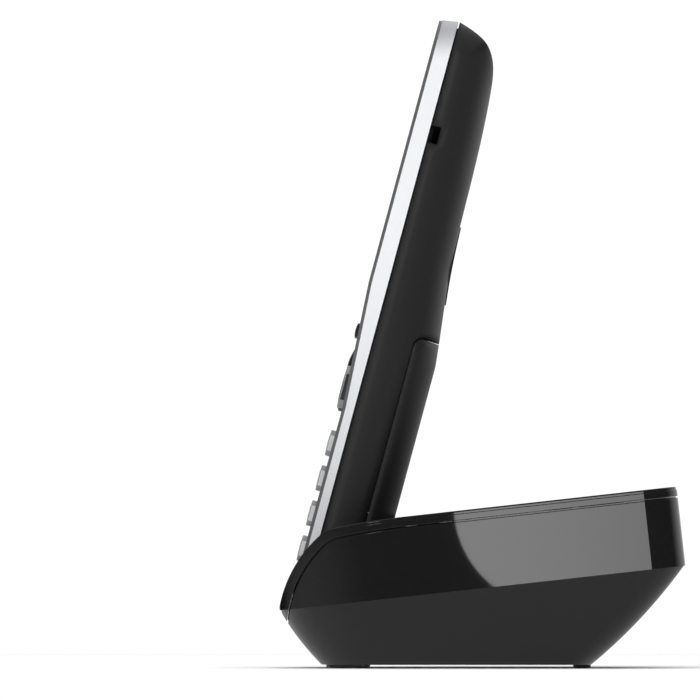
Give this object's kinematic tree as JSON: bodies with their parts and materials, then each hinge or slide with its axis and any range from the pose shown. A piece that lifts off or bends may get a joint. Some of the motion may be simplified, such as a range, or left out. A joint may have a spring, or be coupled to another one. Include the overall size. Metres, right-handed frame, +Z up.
{
  "type": "cordless phone with base",
  "caption": "Slim cordless handset leaning back in the pocket of a glossy black wedge-shaped charging base; every key presses, the battery cover tilts and the handset lifts out.",
  "frame": {"origin": "on the table, under the middle of the base", "axes": "+Z up, +Y towards the rear of the base, X across; the keypad faces -Y"},
  "size_m": [0.092, 0.107, 0.1711],
  "materials": {
    "gloss_black": "high-gloss black ABS",
    "satin_black": "satin black moulded plastic",
    "cover_black": "satin black moulded plastic, a shade darker",
    "matte_black": "fine-textured black plastic",
    "clear_rubber": "translucent grey silicone",
    "silver_paint": "silver metallic paint on plastic",
    "face_grey": "satin metallic grey",
    "key_silver": "satin silver key caps",
    "soft_key_grey": "dark grey key caps",
    "nav_black": "gloss black ring",
    "nav_silver": "satin silver cap",
    "window": "clear hard-coated acrylic",
    "display": "display glass, switched off",
    "mesh_metal": "woven steel mesh",
    "dark_part": "black plastic and paper cone",
    "silicone": "moulded silicone",
    "board_green": "green solder mask",
    "cell_wrap": "shrink-wrapped steel can",
    "spring_steel": "nickel-plated steel",
    "contact_nickel": "nickel-plated contact",
    "gold_wire": "gold-flashed spring wire",
    "lens": "frosted light window"
  },
  "bodies": {
    "base": {"base_lid": "gloss_black", "base_housing": "gloss_black", "base_bottom": "matte_black", "base_screws": "spring_steel", "front_feet": "clear_rubber", "rear_feet": "matte_black", "base_board": "board_green", "line_socket": "matte_black", "power_socket": "matte_black", "line_wires": "gold_wire", "power_wires": "gold_wire", "status_lens": "lens"},
    "handset": {"battery_cells": "cell_wrap", "battery_springs": "spring_steel", "charge_pads": "contact_nickel", "display_module": "display", "display_window": "window", "earpiece": "dark_part", "earpiece_mesh": "mesh_metal", "front_panel": "face_grey", "handset_board": "board_green", "handset_screws": "spring_steel", "keypad_mat": "silicone", "loudspeaker": "dark_part", "microphone": "dark_part", "rear_shell": "satin_black", "side_band": "silver_paint", "speaker_grille": "satin_black"},
    "charge_contact_left": {"charge_contact_left": "contact_nickel"},
    "charge_contact_right": {"charge_contact_right": "contact_nickel"},
    "paging_key": {"paging_key": "gloss_black"},
    "battery_cover": {"battery_cover": "cover_black"},
    "key_0": {"key_0": "key_silver"},
    "key_1": {"key_1": "key_silver"},
    "key_2": {"key_2": "key_silver"},
    "key_3": {"key_3": "key_silver"},
    "key_4": {"key_4": "key_silver"},
    "key_5": {"key_5": "key_silver"},
    "key_6": {"key_6": "key_silver"},
    "key_7": {"key_7": "key_silver"},
    "key_8": {"key_8": "key_silver"},
    "key_9": {"key_9": "key_silver"},
    "key_hash": {"key_hash": "key_silver"},
    "key_star": {"key_star": "key_silver"},
    "soft_key_left": {"soft_key_left": "soft_key_grey"},
    "soft_key_right": {"soft_key_right": "soft_key_grey"},
    "talk_key": {"talk_key": "key_silver"},
    "end_key": {"end_key": "key_silver"},
    "nav_ring": {"nav_ring": "nav_black"},
    "nav_centre": {"nav_centre": "nav_silver"}
  },
  "joints": [
    {"name": "handset_lift", "type": "slide", "parent": "base", "child": "handset", "axis": [0, 0.2605, 0.9655], "range_m": [0, 0.05]},
    {"name": "battery_cover_tilt", "type": "hinge", "parent": "handset", "child": "battery_cover", "pos_m": [0, -0.02405, 0.03539], "axis": [-1, 0, 0], "range_deg": [0, 14]},
    {"name": "paging_key_press", "type": "slide", "parent": "base", "child": "paging_key", "axis": [0, 0.1106, -0.9939], "range_m": [0, 0.0005], "stiffness_N_per_m": 600},
    {"name": "charge_contact_left_spring", "type": "slide", "parent": "base", "child": "charge_contact_left", "axis": [0, -0.2605, -0.9655], "range_m": [0, 0.0006], "stiffness_N_per_m": 600},
    {"name": "charge_contact_right_spring", "type": "slide", "parent": "base", "child": "charge_contact_right", "axis": [0, -0.2605, -0.9655], "range_m": [0, 0.0006], "stiffness_N_per_m": 600},
    {"name": "key_0_press", "type": "slide", "parent": "handset", "child": "key_0", "axis": [0, 0.9655, -0.2605], "range_m": [0, 0.0004], "stiffness_N_per_m": 600},
    {"name": "key_1_press", "type": "slide", "parent": "handset", "child": "key_1", "axis": [0, 0.9655, -0.2605], "range_m": [0, 0.0004], "stiffness_N_per_m": 600},
    {"name": "key_2_press", "type": "slide", "parent": "handset", "child": "key_2", "axis": [0, 0.9655, -0.2605], "range_m": [0, 0.0004], "stiffness_N_per_m": 600},
    {"name": "key_3_press", "type": "slide", "parent": "handset", "child": "key_3", "axis": [0, 0.9655, -0.2605], "range_m": [0, 0.0004], "stiffness_N_per_m": 600},
    {"name": "key_4_press", "type": "slide", "parent": "handset", "child": "key_4", "axis": [0, 0.9655, -0.2605], "range_m": [0, 0.0004], "stiffness_N_per_m": 600},
    {"name": "key_5_press", "type": "slide", "parent": "handset", "child": "key_5", "axis": [0, 0.9655, -0.2605], "range_m": [0, 0.0004], "stiffness_N_per_m": 600},
    {"name": "key_6_press", "type": "slide", "parent": "handset", "child": "key_6", "axis": [0, 0.9655, -0.2605], "range_m": [0, 0.0004], "stiffness_N_per_m": 600},
    {"name": "key_7_press", "type": "slide", "parent": "handset", "child": "key_7", "axis": [0, 0.9655, -0.2605], "range_m": [0, 0.0004], "stiffness_N_per_m": 600},
    {"name": "key_8_press", "type": "slide", "parent": "handset", "child": "key_8", "axis": [0, 0.9655, -0.2605], "range_m": [0, 0.0004], "stiffness_N_per_m": 600},
    {"name": "key_9_press", "type": "slide", "parent": "handset", "child": "key_9", "axis": [0, 0.9655, -0.2605], "range_m": [0, 0.0004], "stiffness_N_per_m": 600},
    {"name": "key_hash_press", "type": "slide", "parent": "handset", "child": "key_hash", "axis": [0, 0.9655, -0.2605], "range_m": [0, 0.0004], "stiffness_N_per_m": 600},
    {"name": "key_star_press", "type": "slide", "parent": "handset", "child": "key_star", "axis": [0, 0.9655, -0.2605], "range_m": [0, 0.0004], "stiffness_N_per_m": 600},
    {"name": "soft_key_left_press", "type": "slide", "parent": "handset", "child": "soft_key_left", "axis": [0, 0.9655, -0.2605], "range_m": [0, 0.0004], "stiffness_N_per_m": 600},
    {"name": "soft_key_right_press", "type": "slide", "parent": "handset", "child": "soft_key_right", "axis": [0, 0.9655, -0.2605], "range_m": [0, 0.0004], "stiffness_N_per_m": 600},
    {"name": "talk_key_press", "type": "slide", "parent": "handset", "child": "talk_key", "axis": [0, 0.9655, -0.2605], "range_m": [0, 0.0004], "stiffness_N_per_m": 600},
    {"name": "end_key_press", "type": "slide", "parent": "handset", "child": "end_key", "axis": [0, 0.9655, -0.2605], "range_m": [0, 0.0004], "stiffness_N_per_m": 600},
    {"name": "nav_ring_press", "type": "slide", "parent": "handset", "child": "nav_ring", "axis": [0, 0.9655, -0.2605], "range_m": [0, 0.0004], "stiffness_N_per_m": 600},
    {"name": "nav_centre_press", "type": "slide", "parent": "handset", "child": "nav_centre", "axis": [0, 0.9655, -0.2605], "range_m": [0, 0.0004], "stiffness_N_per_m": 600}
  ]
}
